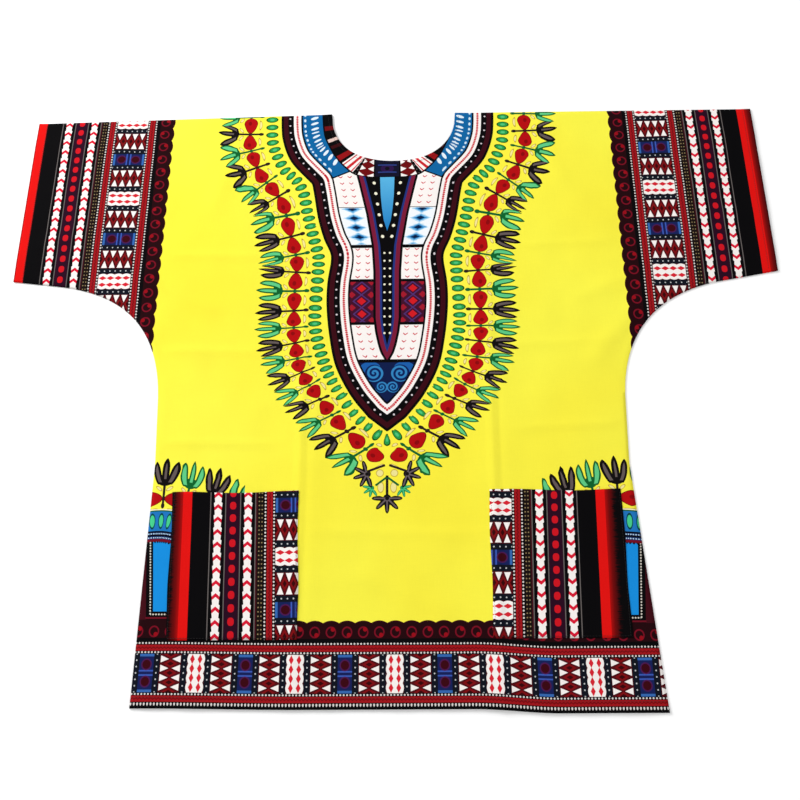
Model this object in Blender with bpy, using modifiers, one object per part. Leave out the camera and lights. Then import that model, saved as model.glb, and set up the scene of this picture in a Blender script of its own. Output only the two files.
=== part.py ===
"""A dashiki shirt in printed cotton, laid flat and face up. Metres, +Z up, +Y towards the neck.

Four pieces of cloth: a back panel, a front panel of the same cut whose sleeves are cut in one
with the body, and two patch pockets on the front. The front lies on the back, with soft folds
in it, and the pockets follow the front. The origin is the bottom centre of the whole.
"""

from collections import namedtuple
from math import cos, pi, sin

import bmesh
import bpy
import numpy as np

# Cloth
CLOTH = 0.0010
SEAM_GAP = 0.0003

# Cut of the body and sleeves. Heights are above the middle of the hem.
SPAN = 1.036
LENGTH = 0.819
CURVE_START = 0.450
CURVE_END = 0.380
CURVE_PULL_IN = 0.095
CURVE_PULL_UP = 0.090
WAIST_HEIGHT = 0.290

# The halves were cut and sewn by hand, and differ by a few millimetres.
Half = namedtuple("Half", "sign shoulder_fall opening under_drop chest waist hem")
HALVES = (
    Half(sign=-1, shoulder_fall=0.0100, opening=0.2585, under_drop=0.0085, chest=0.3050, waist=0.3005, hem=0.3035),
    Half(sign=1, shoulder_fall=0.0000, opening=0.2640, under_drop=0.0125, chest=0.2965, waist=0.2930, hem=0.3110),
)

# The hem isn't quite straight: x and height of its places between the two corners and at them.
HEM_SAG = 0.005
HEM = ((-0.3035, 0.0025), (-0.100, 0.0), (0.090, 0.0), (0.190, -HEM_SAG), (0.3110, -HEM_SAG))

# Neck: half of a superellipse, the same in front and back
NECK_HALF = 0.0895
NECK_DEPTH = 0.0820
NECK_ROUNDNESS = 2.3

# Patch pockets
POCKET_INNER = 0.116
POCKET_WIDTH = 0.162
POCKET_BOTTOM = 0.077
POCKET_HEIGHT = 0.177

# How finely the outline and the folds are drawn
NECK_STEPS = 12
CURVE_STEPS = 6
GRID = 0.027
NEAR_LINE = 0.009

# Soft folds of the front: a ridge along a straight run, which fades at its ends.
Fold = namedtuple("Fold", "x0 y0 x1 y1 height width")
FOLDS = (
    Fold(x0=-0.116, y0=0.04, x1=-0.112, y1=0.52, height=0.0016, width=0.026),
    Fold(x0=0.119, y0=0.00, x1=0.126, y1=0.50, height=0.0018, width=0.026),
    Fold(x0=-0.440, y0=0.78, x1=-0.390, y1=0.58, height=0.0014, width=0.034),
    Fold(x0=0.450, y0=0.78, x1=0.385, y1=0.57, height=0.0015, width=0.034),
    Fold(x0=-0.285, y0=0.62, x1=-0.150, y1=0.56, height=0.0010, width=0.040),
    Fold(x0=0.280, y0=0.66, x1=0.160, y1=0.60, height=0.0010, width=0.040),
)
FOLD_FADE = 0.06
BODY_SWELL = 0.0008
SEAM_REACH = 0.045


def clear_scene():
    for old in list(bpy.data.objects):
        bpy.data.objects.remove(old, do_unlink=True)


def cotton(name, colour, roughness=0.85):
    """Printed cotton in one plain colour."""
    made = bpy.data.materials.new(name)
    made.use_nodes = True
    shader = made.node_tree.nodes["Principled BSDF"]
    shader.inputs["Base Color"].default_value = (*colour, 1.0)
    shader.inputs["Roughness"].default_value = roughness
    shader.inputs["Metallic"].default_value = 0.0
    made.diffuse_color = (*colour, 1.0)
    return made


def cubic(a, b, c, d, steps):
    """Points of a cubic Bezier curve from a to d, both ends included."""
    t = np.linspace(0.0, 1.0, steps + 1)[:, None]
    a, b, c, d = (np.array(p) for p in (a, b, c, d))
    points = (1 - t) ** 3 * a + 3 * (1 - t) ** 2 * t * b + 3 * (1 - t) * t**2 * c + t**3 * d
    return [tuple(p) for p in points]


def neck_curve():
    """The right half of the neckline, from its lowest point up to the shoulder."""
    points = []
    for step in range(NECK_STEPS + 1):
        angle = 0.5 * pi * step / NECK_STEPS
        across = NECK_HALF * sin(angle) ** (2 / NECK_ROUNDNESS)
        below = NECK_DEPTH * max(cos(angle), 0.0) ** (2 / NECK_ROUNDNESS)
        points.append((across, LENGTH - below))
    return points


def seam_run(half):
    """Sewn edges of one half, without its sign: shoulder, underarm and side, then the hem corner."""
    cuff_top = LENGTH - half.shoulder_fall
    cuff_bottom = cuff_top - half.opening
    shoulder = [(SPAN / 2, cuff_top)]
    start = (CURVE_START, cuff_bottom - half.under_drop)
    end = (half.chest, CURVE_END)
    pull_in = (CURVE_START - CURVE_PULL_IN, start[1] - 0.15 * CURVE_PULL_IN)
    pull_up = (half.chest + 0.07 * CURVE_PULL_UP, CURVE_END + CURVE_PULL_UP)
    underarm = cubic(start, pull_in, pull_up, end, CURVE_STEPS)
    corner = HEM[0] if half.sign < 0 else HEM[-1]
    side = [(half.waist, WAIST_HEIGHT), (half.hem, corner[1])]
    return shoulder, [(SPAN / 2, cuff_bottom)] + underarm + side


def signed(points, half):
    return [(half.sign * x, y) for x, y in points]


def outline():
    """The whole cut, round its edge from the right hem corner, and back along the hem."""
    left, right = HALVES
    neck = neck_curve()
    loop = []
    for half, forward in ((right, False), (left, True)):
        shoulder, under = seam_run(half)
        run = neck[1:] + shoulder + under
        loop.append(signed(run if forward else run[::-1], half))
    return loop[0] + [neck[0]] + loop[1] + list(HEM[1:-1])


def seam_segments():
    """Segments along which the front is sewn to the back: shoulders, underarms and sides."""
    segments = []
    for half in HALVES:
        shoulder, under = seam_run(half)
        top = signed([neck_curve()[-1]] + shoulder, half)
        below = signed(under, half)
        segments += list(zip(top, top[1:])) + list(zip(below, below[1:]))
    return segments


def distance_to(segment, x, y):
    (x0, y0), (x1, y1) = segment
    run_x, run_y = x1 - x0, y1 - y0
    along = ((x - x0) * run_x + (y - y0) * run_y) / (run_x**2 + run_y**2)
    along = np.clip(along, 0.0, 1.0)
    return np.hypot(x - x0 - along * run_x, y - y0 - along * run_y)


def smooth(value):
    value = np.clip(value, 0.0, 1.0)
    return value * value * (3 - 2 * value)


def fold_height(fold, x, y):
    """A ridge with a bell-shaped section, faded over FOLD_FADE at both ends."""
    run = np.hypot(fold.x1 - fold.x0, fold.y1 - fold.y0)
    way_x, way_y = (fold.x1 - fold.x0) / run, (fold.y1 - fold.y0) / run
    along = (x - fold.x0) * way_x + (y - fold.y0) * way_y
    aside = (x - fold.x0) * way_y - (y - fold.y0) * way_x
    fade = smooth(along / FOLD_FADE + 0.5) * smooth((run - along) / FOLD_FADE + 0.5)
    return fold.height * np.exp(-((aside / fold.width) ** 2)) * fade


def front_lift(x, y):
    """How far the front rises above its lowest place: nothing at the seams, more over the folds."""
    from_seam = np.min([distance_to(segment, x, y) for segment in seam_segments()], axis=0)
    folds = sum(fold_height(fold, x, y) for fold in FOLDS)
    return smooth(from_seam / SEAM_REACH) * (BODY_SWELL + folds)


def grid_lines(low, high, fixed):
    """Evenly spaced cut lines, with those too near a fixed line left out."""
    count = int(round((high - low) / GRID))
    even = [low + (high - low) * i / count for i in range(1, count)]
    return fixed + [line for line in even if min(abs(line - f) for f in fixed) > NEAR_LINE]


def pocket_sides():
    """Left and right edge of each pocket, by its name."""
    outer = POCKET_INNER + POCKET_WIDTH
    return {"pocket_left": (-outer, -POCKET_INNER), "pocket_right": (POCKET_INNER, outer)}


def flat_sheet():
    """The outline as one flat face, the middle of its hem on y = 0."""
    sheet = bmesh.new()
    corners = [sheet.verts.new((x, y, 0.0)) for x, y in outline()]
    sheet.faces.new(corners)
    sheet.normal_update()
    if sheet.faces[:][0].normal.z < 0:
        bmesh.ops.reverse_faces(sheet, faces=sheet.faces[:])
    return sheet


def cut_along(sheet, axis, lines):
    normal = (1, 0, 0) if axis == 0 else (0, 1, 0)
    for line in sorted(lines):
        place = tuple(line * n for n in normal)
        geometry = sheet.verts[:] + sheet.edges[:] + sheet.faces[:]
        bmesh.ops.bisect_plane(sheet, geom=geometry, dist=1e-6, plane_co=place, plane_no=normal)


def folded_sheet():
    """The front's underside: cut into a grid that includes the pockets' edges, then lifted."""
    sheet = flat_sheet()
    pocket_edges = [edge for sides in pocket_sides().values() for edge in sides]
    pocket_rows = [POCKET_BOTTOM, POCKET_BOTTOM + POCKET_HEIGHT]
    cut_along(sheet, 0, grid_lines(-SPAN / 2, SPAN / 2, pocket_edges))
    cut_along(sheet, 1, grid_lines(-HEM_SAG, LENGTH, pocket_rows))
    bmesh.ops.triangulate(sheet, faces=sheet.faces[:])
    places = np.array([vertex.co[:] for vertex in sheet.verts])
    heights = CLOTH + SEAM_GAP + front_lift(places[:, 0], places[:, 1])
    for vertex, height in zip(sheet.verts, heights):
        vertex.co.z = height
    return sheet


def keep_rectangle(sheet, left, right, bottom, top):
    """Deletes every face whose middle is outside the rectangle."""
    outside = []
    for face in sheet.faces:
        middle = face.calc_center_median()
        if not (left < middle.x < right and bottom < middle.y < top):
            outside.append(face)
    bmesh.ops.delete(sheet, geom=outside, context="FACES")


def cloth_object(name, sheet, material, collection):
    """A sheet's underside made a closed wall of cloth, its hem line moved to the row's frame."""
    bmesh.ops.translate(sheet, verts=sheet.verts[:], vec=(0.0, (HEM_SAG - LENGTH) / 2, 0.0))
    sheet.normal_update()
    mesh = bpy.data.meshes.new(name)
    sheet.to_mesh(mesh)
    sheet.free()
    mesh.materials.append(material)
    made = bpy.data.objects.new(name, mesh)
    collection.objects.link(made)
    wall = made.modifiers.new("cloth wall", "SOLIDIFY")
    wall.thickness = CLOTH
    wall.offset = 1.0
    return made


def make_back(collection):
    material = cotton("back_cotton", (0.90, 0.80, 0.07))
    return cloth_object("back", flat_sheet(), material, collection)


def make_front(collection):
    material = cotton("front_cotton", (0.98, 0.90, 0.08))
    return cloth_object("front", folded_sheet(), material, collection)


def make_pocket(name, collection):
    """A pocket made from the front's own points, moved out by the front's wall and the gap."""
    left, right = pocket_sides()[name]
    sheet = folded_sheet()
    keep_rectangle(sheet, left, right, POCKET_BOTTOM, POCKET_BOTTOM + POCKET_HEIGHT)
    bmesh.ops.translate(sheet, verts=sheet.verts[:], vec=(0.0, 0.0, CLOTH + SEAM_GAP))
    material = cotton(name + "_cotton", (0.35, 0.03, 0.05))
    return cloth_object(name, sheet, material, collection)


def main():
    clear_scene()
    shirt = bpy.data.collections.new("dashiki shirt")
    bpy.context.scene.collection.children.link(shirt)
    make_back(shirt)
    make_front(shirt)
    for name in pocket_sides():
        make_pocket(name, shirt)


main()
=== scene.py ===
# %% [markdown]
# # A dashiki shirt, laid flat
# The shirt is two big pieces of printed cotton, a front and a back, with the sleeves cut in one
# with the body, and two patch pockets. It lies on a pale floor, face up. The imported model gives
# the size and the place of each piece. This script gives each one its thin cloth, its turned
# hems, its creases and its print.

import bpy
import numpy as np
from mathutils import Matrix, Vector


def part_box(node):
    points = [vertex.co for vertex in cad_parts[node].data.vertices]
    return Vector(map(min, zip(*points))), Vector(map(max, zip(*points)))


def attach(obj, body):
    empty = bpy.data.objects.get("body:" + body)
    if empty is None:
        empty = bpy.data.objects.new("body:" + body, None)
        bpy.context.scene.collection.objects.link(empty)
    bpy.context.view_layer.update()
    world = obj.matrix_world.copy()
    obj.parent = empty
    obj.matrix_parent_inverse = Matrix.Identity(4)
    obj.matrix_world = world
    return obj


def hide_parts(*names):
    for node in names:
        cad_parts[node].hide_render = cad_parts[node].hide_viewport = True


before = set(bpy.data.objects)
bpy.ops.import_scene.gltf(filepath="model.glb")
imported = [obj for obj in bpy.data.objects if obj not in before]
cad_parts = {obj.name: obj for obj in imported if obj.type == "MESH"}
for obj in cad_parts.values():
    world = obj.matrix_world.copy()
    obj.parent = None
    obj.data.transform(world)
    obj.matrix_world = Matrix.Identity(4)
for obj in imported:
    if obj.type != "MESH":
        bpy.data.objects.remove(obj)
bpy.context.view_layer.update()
front_low, front_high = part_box("front")
print("nodes:", sorted(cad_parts))
print("front from", tuple(round(v, 4) for v in front_low), "to", tuple(round(v, 4) for v in front_high))

# %% [markdown]
# ## The cut
# A garment is easiest to describe the way a cutter sees it: x across from the middle, y up from
# the middle of the hem. One pair of paper patterns would serve front and back, so both use the
# same lines. The span and the length come from the frame. The rest are the sizes that the model
# was cut to, and they repeat them. All of them are in metres.

# %% Sizes of the cut
HEM_SAG = 0.005
HEM_RISE = 0.0025
HALF_SPAN = front_high.x
HEM_LINE = front_low.y + HEM_SAG
LENGTH = front_high.y - HEM_LINE
CURVE_START = 0.450
CURVE_END = 0.380
CURVE_PULL_IN = 0.095
CURVE_PULL_UP = 0.090
CURVE_FALL = 0.15
CURVE_SPREAD = 0.07
WAIST_HEIGHT = 0.290
NECK_HALF = 0.0895
NECK_DEPTH = 0.0820
NECK_ROUNDNESS = 2.3

# Each half's own small differences: how far the shoulder falls, the sleeve's opening and the
# drop of the seam under it, and the half widths at the chest, the waist and the hem.
LEFT = {
    "sign": -1, "fall": 0.0100, "opening": 0.2585, "drop": 0.0085,
    "chest": 0.3050, "waist": 0.3005, "hem": 0.3035,
}
RIGHT = {
    "sign": 1, "fall": 0.0000, "opening": 0.2640, "drop": 0.0125,
    "chest": 0.2965, "waist": 0.2930, "hem": 0.3110,
}
print(f"span {2 * HALF_SPAN:.3f} m, length {LENGTH:.3f} m")

# %% The sewn edges, as functions of x or y
def cubic(a, b, c, d, steps=60):
    """A cubic Bezier curve from a to d: (1-t)^3 a + 3(1-t)^2 t b + 3(1-t) t^2 c + t^3 d."""
    t = np.linspace(0.0, 1.0, steps + 1)[:, None]
    a, b, c, d = (np.array(p) for p in (a, b, c, d))
    return (1 - t) ** 3 * a + 3 * (1 - t) ** 2 * t * b + 3 * (1 - t) * t**2 * c + t**3 * d


def underarm(half):
    """The sewn edge below one sleeve, from the side seam's top out to the cuff, on the +x side."""
    cuff = LENGTH - half["fall"] - half["opening"]
    start = (CURVE_START, cuff - half["drop"])
    pull_in = (CURVE_START - CURVE_PULL_IN, start[1] - CURVE_FALL * CURVE_PULL_IN)
    pull_up = (half["chest"] + CURVE_SPREAD * CURVE_PULL_UP, CURVE_END + CURVE_PULL_UP)
    curve = cubic(start, pull_in, pull_up, (half["chest"], CURVE_END))
    return np.vstack([curve[::-1], (HALF_SPAN, cuff)])


def lower_edge(x):
    """Height of the cloth's lower edge over x: flat across the body, then the underarm curve."""
    left, right = underarm(LEFT), underarm(RIGHT)
    on_left = np.interp(-x, left[:, 0], left[:, 1])
    on_right = np.interp(x, right[:, 0], right[:, 1])
    return np.where(x < 0, on_left, on_right)


def upper_edge(x):
    """Height of the upper edge: a straight shoulder, or inside the neck a superellipse below it."""
    fall = np.where(x < 0, LEFT["fall"], RIGHT["fall"])
    shoulder = LENGTH - fall * np.clip((np.abs(x) - NECK_HALF) / (HALF_SPAN - NECK_HALF), 0, 1)
    inside = np.clip(1 - (np.abs(x) / NECK_HALF) ** NECK_ROUNDNESS, 0, 1)
    return shoulder - NECK_DEPTH * inside ** (1 / NECK_ROUNDNESS)


def side_edge(half, y):
    """Half width of the body at height y: straight from the underarm to the waist and the hem."""
    return np.interp(y, (0.0, WAIST_HEIGHT, CURVE_END), (half["hem"], half["waist"], half["chest"]))


print("sleeve depth at the underarm:", round(float(upper_edge(0.45) - lower_edge(0.45)), 4), "m")

# %% [markdown]
# ## How the cloth lies
# Cotton that has been folded in a packet lies almost flat: it rises a millimetre or so in the
# middle, is pinched at its seams, and keeps soft ridges where it was folded. A cloth simulation
# would smooth those folds away, so each crease is listed: where it starts and ends, how
# high it stands and how wide it is. A trough has a negative height.

# %% Helpers for curves and distances
def smooth(value):
    """Goes from 0 to 1 with no corner: 3v^2 - 2v^3, with v held between 0 and 1."""
    value = np.clip(value, 0.0, 1.0)
    return value * value * (3 - 2 * value)


SPLINE_STEPS = 10


def spline(points):
    """A Catmull-Rom curve: it passes through each point in the direction from the last to the next."""
    p = np.array(points, float)
    p = np.vstack([2 * p[0] - p[1], p, 2 * p[-1] - p[-2]])
    t = np.linspace(0.0, 1.0, SPLINE_STEPS, endpoint=False)[:, None, None]
    a, b, c, d = p[:-3], p[1:-2], p[2:-1], p[3:]
    bend, twist = 2 * a - 5 * b + 4 * c - d, 3 * b - a - 3 * c + d
    curve = 0.5 * (2 * b + (c - a) * t + bend * t**2 + twist * t**3)
    return np.vstack([curve.transpose(1, 0, 2).reshape(-1, 2), p[-2]])


def lengths_along(path):
    """Length of the path from its start up to each of its points."""
    return np.concatenate([[0.0], np.cumsum(np.hypot(*np.diff(path, axis=0).T))])


def along_and_away(path, x, y):
    """Each point's nearest place on the path, as a length along it, and how far right of it it lies."""
    along = np.zeros_like(x)
    away = np.full_like(x, 1e9)
    travelled = 0.0
    for (x0, y0), (x1, y1) in zip(path, path[1:]):
        length = np.hypot(x1 - x0, y1 - y0)
        way_x, way_y = (x1 - x0) / length, (y1 - y0) / length
        here = np.clip((x - x0) * way_x + (y - y0) * way_y, 0, length)
        distance = np.hypot(x - x0 - here * way_x, y - y0 - here * way_y)
        side = np.sign((x - x0) * way_y - (y - y0) * way_x + 1e-12)
        nearer = distance < np.abs(away)
        along = np.where(nearer, travelled + here, along)
        away = np.where(nearer, distance * side, away)
        travelled += length
    return along, away


# From the middle out, where the hem's rise and sag begin and how wide their slopes are, and from
# the hem up, where both begin to fade and over what height.
RISE_SLOPE = (0.1, 0.2)
SAG_SLOPE = (0.09, 0.1)
SAG_FADE = (0.08, 0.3)


def slope(value, ends):
    """From 0 at the first of the ends, smoothly, to 1 after the second one's width."""
    return smooth((value - ends[0]) / ends[1])


def hem_sag(x, y):
    """How far up the cloth lies from its flat cut: some at the left of the hem, below 0 at its right."""
    sag = HEM_RISE * slope(-x, RISE_SLOPE) - HEM_SAG * slope(x, SAG_SLOPE)
    return sag * (1 - slope(y, SAG_FADE))


# %% Seams, folds and creases
def from_seams(x, y):
    """Distance to the nearest sewn edge: the shoulders, the underarms and the sides."""
    nearest = np.full_like(x, 1e9)
    for half in (LEFT, RIGHT):
        shoulder = np.array([(NECK_HALF, LENGTH), (HALF_SPAN, LENGTH - half["fall"])])
        side = [(half["hem"], 0.0), (half["waist"], WAIST_HEIGHT)]
        under = np.vstack([side, underarm(half)[::3], underarm(half)[-1:]])
        for path in (shoulder, under):
            nearest = np.minimum(nearest, np.abs(along_and_away(path, half["sign"] * x, y)[1]))
    return nearest


# In millimetres: x and y of the start, x and y of the end, height, width.
MAIN_FOLDS = (
    (-116, 40, -112, 520, 1.6, 26), (119, 0, 126, 500, 1.8, 26), (-440, 780, -390, 580, 1.4, 34),
    (450, 780, 385, 570, 1.5, 34), (-285, 620, -150, 560, 1, 40), (280, 660, 160, 600, 1, 40),
)
FINE_CREASES = (
    (-118, 20, -117, 550, 1.4, 4.5), (-111, 100, -110, 470, -0.8, 5), (123, 0, 125, 530, 1.5, 4.5),
    (131, 60, 132, 400, -0.8, 5), (-300, 588, -175, 584, 0.9, 5), (-298, 446, -180, 443, 1, 5),
    (-292, 320, -150, 316, 0.9, 5), (175, 598, 290, 603, 0.9, 5), (150, 450, 285, 456, 0.8, 6),
    (160, 336, 288, 341, 1, 5), (-100, 205, 105, 200, 0.8, 7), (-325, 500, -250, 430, 1.5, 14),
    (-345, 560, -235, 500, 1.2, 12), (330, 510, 255, 425, 1.5, 14), (352, 565, 240, 515, 1.2, 12),
    (-400, 800, -370, 700, 0.9, 10), (395, 795, 360, 690, 0.9, 10), (-500, 600, -430, 625, 1, 12),
    (505, 640, 430, 650, 1, 12), (-50, 155, 60, 110, 0.8, 12), (215, 780, 240, 690, 0.9, 12),
    (-225, 770, -255, 660, 0.9, 12),
)
MAIN_FADE = 0.06
FINE_FADE = 0.035
BODY_SWELL = 0.0008
SEAM_REACH = 0.045
FINE_SEAM_REACH = 0.02


def creased(x, y, table, fade):
    """The sum of the table's ridges: a bell across each one, faded to nothing at both of its ends."""
    total = np.zeros_like(x)
    for x0, y0, x1, y1, height, width in 0.001 * np.array(table):
        run = np.hypot(x1 - x0, y1 - y0)
        way_x, way_y = (x1 - x0) / run, (y1 - y0) / run
        along = (x - x0) * way_x + (y - y0) * way_y
        aside = (x - x0) * way_y - (y - y0) * way_x
        ends = smooth(along / fade + 0.5) * smooth((run - along) / fade + 0.5)
        total += height * np.exp(-((aside / width) ** 2)) * ends
    return total


WAVE_SEED = 11
WAVES = 14
WAVE_HEIGHT = 0.00006


def slack(x, y):
    """The cloth's small unevenness: a sum of sine waves 35 to 120 mm long, in random directions."""
    draw = np.random.default_rng(WAVE_SEED)
    total = np.zeros_like(x)
    ranges = (0.035, 0.12), (0, np.pi), (0, 6.3)
    for length, turn, start in zip(*[draw.uniform(low, high, WAVES) for low, high in ranges]):
        total += np.sin((x * np.cos(turn) + y * np.sin(turn)) * 2 * np.pi / length + start)
    return WAVE_HEIGHT * total


def front_lift(x, y):
    """How far the front rises above its lowest place: nothing at the seams, more over each fold."""
    seam = from_seams(x, y)
    body = smooth(seam / SEAM_REACH) * (BODY_SWELL + creased(x, y, MAIN_FOLDS, MAIN_FADE))
    fine = creased(x, y, FINE_CREASES, FINE_FADE) + slack(x, y)
    return body + smooth(seam / FINE_SEAM_REACH) * fine


print(len(MAIN_FOLDS), "main folds and", len(FINE_CREASES), "fine creases")

# %% [markdown]
# ## The panels
# Front and back are each one sheet of points. Two patches make it: below the underarm the rows
# run from side seam to side seam, and above it the columns run from the lower edge up to the
# shoulder or the neck. They share the row of points where they meet. At the hem and the cuffs the
# sheet goes on round a tight bend and back under itself, as a turned hem does. The wall is then
# given its thickness with Solidify, half to each side.

# %% Rows and columns
WALL = 0.00045
BEND = 0.00027
HEM_DEPTH = 0.014
COARSE_STEP = 0.0047
FINE_STEP = 0.0015
CUFF_STEP = 0.0046
NECK_START = 0.078
PAST_CHEST = 0.012
UPPER_ROWS = 92


def evenly(stretches):
    """Places from the first stretch's start to the last one's end, each stretch with its own step."""
    places = []
    for start, end, step in stretches:
        places.append(np.linspace(start, end, max(2, int(round((end - start) / step)) + 1))[:-1])
    return np.concatenate(places + [[stretches[-1][1]]])


def turned_under(edge):
    """The last points before and beyond a fold at the edge: flat, round a half circle, and back under.

    Returns the distance of each point along the cloth's direction, and how far it drops.
    """
    turn = np.linspace(0.0, np.pi, 5)
    back = np.array([0.4, 0.75, 1.0]) * HEM_DEPTH
    out = np.concatenate([edge - BEND + BEND * np.sin(turn), edge - BEND - back])
    drop = np.concatenate([BEND * (1 - np.cos(turn)), np.full(3, 2 * BEND)])
    return out, drop


cuff_out, cuff_drop = turned_under(HALF_SPAN)


def half_columns(half):
    """Columns from the middle out to the cuff and back under it, closer where the edge curves."""
    chest = half["chest"]
    ends = (0.0, NECK_START, NECK_HALF, chest, chest + PAST_CHEST, HALF_SPAN - BEND)
    steps = (COARSE_STEP, FINE_STEP, COARSE_STEP, FINE_STEP, CUFF_STEP)
    flat = evenly(list(zip(ends, ends[1:], steps)))
    return np.concatenate([flat, cuff_out[1:]]), np.concatenate([np.zeros(len(flat)), cuff_drop[1:]])


(left_columns, left_drop), (right_columns, right_drop) = half_columns(LEFT), half_columns(RIGHT)
columns = np.concatenate([-left_columns[:0:-1], right_columns])
column_drop = np.concatenate([left_drop[:0:-1], right_drop])
chest_half = np.where(columns < 0, LEFT["chest"], RIGHT["chest"])
body = (np.abs(columns) <= chest_half + 1e-6) & (column_drop == 0)

hem_out, hem_drop = turned_under(0.0)
flat_rows = evenly(((BEND, CURVE_END, COARSE_STEP),))
rows = np.concatenate([-hem_out[:0:-1], flat_rows[:-1]])
row_drop = np.concatenate([hem_drop[:0:-1], np.zeros(len(flat_rows) - 1)])
upper_rows = np.linspace(0.0, 1.0, UPPER_ROWS)
print(len(columns), "columns,", len(rows), "rows below the underarm and", UPPER_ROWS, "above it")


# %% One sheet of points for both panels
def quads(index):
    """The four-sided faces between neighbouring points of a grid of point numbers."""
    corners = index[:-1, :-1], index[:-1, 1:], index[1:, 1:], index[1:, :-1]
    return np.stack(corners, axis=-1).reshape(-1, 4)


def panel_points():
    """x, y and drop of every point, and the faces: upper patch first, then the rows below it."""
    x_up = np.broadcast_to(columns, (UPPER_ROWS, len(columns)))
    low, high = lower_edge(columns), upper_edge(columns)
    y_up = low + (high - low) * upper_rows[:, None]
    drop_up = np.broadcast_to(column_drop, x_up.shape)
    across = columns[body] / chest_half[body]
    left, right = side_edge(LEFT, rows[:, None]), side_edge(RIGHT, rows[:, None])
    x_low = across * np.where(across < 0, left, right)
    y_low = np.broadcast_to(rows[:, None], x_low.shape)
    drop_low = np.broadcast_to(row_drop[:, None], x_low.shape)
    index_up = np.arange(x_up.size).reshape(x_up.shape)
    index_low = x_up.size + np.arange(x_low.size).reshape(x_low.shape)
    faces = np.vstack([quads(index_up), quads(np.vstack([index_low, index_up[0, body]]))])
    parts = zip((x_up, y_up, drop_up), (x_low, y_low, drop_low))
    return [np.concatenate([a.ravel(), b.ravel()]) for a, b in parts] + [faces]


sheet_x, sheet_y, sheet_drop, sheet_faces = panel_points()
print(len(sheet_x), "points and", len(sheet_faces), "faces in a panel")


# %% Meshes from arrays
def make_mesh(name, points, faces):
    """A mesh object at the origin from an array of points and an array of equal-sided faces."""
    mesh = bpy.data.meshes.new(name)
    sides = faces.shape[1]
    mesh.vertices.add(len(points))
    mesh.vertices.foreach_set("co", np.ascontiguousarray(points, np.float32).ravel())
    mesh.loops.add(faces.size)
    mesh.loops.foreach_set("vertex_index", np.ascontiguousarray(faces, np.int32).ravel())
    mesh.polygons.add(len(faces))
    mesh.polygons.foreach_set("loop_start", np.arange(0, faces.size, sides, dtype=np.int32))
    mesh.update(calc_edges=True)
    mesh.validate()
    mesh.shade_smooth()
    made = bpy.data.objects.new(name, mesh)
    bpy.context.scene.collection.objects.link(made)
    return made


def give_wall(piece):
    """Half the cloth's thickness to each side of its middle surface."""
    wall = piece.modifiers.new("cloth", "SOLIDIFY")
    wall.thickness = WALL
    wall.offset = 0.0
    wall.use_rim = True


# Heights of the middle of each layer above the floor, and where two sewn edges meet.
BACK_LEVEL = 0.00036
FRONT_LEVEL = 0.00188
SEAM_LEVEL = 0.00096
SEAM_GAP = 0.00002
SEAM_PINCH = 0.0055
OPEN_REACH = 0.018


def from_openings(x, y):
    """Distance to the nearest open edge: hem, cuffs or neck."""
    neck = np.hypot(x / NECK_HALF, (LENGTH - y) / NECK_DEPTH) - 1
    return np.minimum(np.minimum(y, HALF_SPAN - np.abs(x)), np.maximum(neck, 0) * NECK_DEPTH)


def pinch(x, y):
    """1 on a sewn edge and 0 a few millimetres inside it, but nothing beside an open edge."""
    seam = 1 - smooth(from_seams(x, y) / SEAM_PINCH)
    return seam * smooth(from_openings(x, y) / OPEN_REACH)


def front_height(x, y):
    """Middle of the front's wall above the floor: its level, its lift, and down to the seam."""
    level = FRONT_LEVEL + front_lift(x, y)
    meet = SEAM_LEVEL + 0.5 * WALL + SEAM_GAP
    return level + (meet - level) * pinch(x, y)


def back_height(x, y):
    """Middle of the back's wall above the floor: flat, and up to the seam at its sewn edges."""
    meet = SEAM_LEVEL - 0.5 * WALL
    return BACK_LEVEL + (meet - BACK_LEVEL) * pinch(x, y)


front_top = front_height(sheet_x, sheet_y) - sheet_drop
back_top = back_height(sheet_x, sheet_y) + sheet_drop
placed_y = sheet_y + hem_sag(sheet_x, sheet_y) + HEM_LINE
front = make_mesh("shirt_front", np.column_stack([sheet_x, placed_y, front_top]), sheet_faces)
back = make_mesh("shirt_back", np.column_stack([sheet_x, placed_y, back_top]), sheet_faces[:, ::-1])
print("front stands", round(1000 * front_top.max(), 2), "mm high at its highest fold")

# %% [markdown]
# ## Where the print goes
# The design is printed on the cloth before it is cut, so it follows the flat sheet and not the
# folds. Each motif is drawn in millimetres, in coordinates that suit it: across and along a
# border, in from the outline of the chest ornament, or along a curve that a garland grows on.
# numpy works these out once for every point, and the mesh carries them as attributes.

# %% Curves of the chest ornament, in millimetres from its middle line and above the hem
ORNAMENT_MIDDLE = -9.0
STEM_PITCH = 27.0
BEAD_PITCH = 12.6
FLARE = ((155, 850), (154.5, 817), (153.5, 795), (151, 775), (143.5, 750), (132.5, 730), (106, 699))
BODICE = (
    (106, 699), (102.5, 680), (96, 642), (87, 610), (78.4, 590), (77, 575), (81, 542), (81, 505),
    (76, 461), (67, 420), (47, 380), (24, 350),
)
TIP = ((24, 350), (0, 331))
OUTLINE = np.vstack([spline(FLARE)[:-1], spline(BODICE)[:-1], spline(TIP)])

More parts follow.
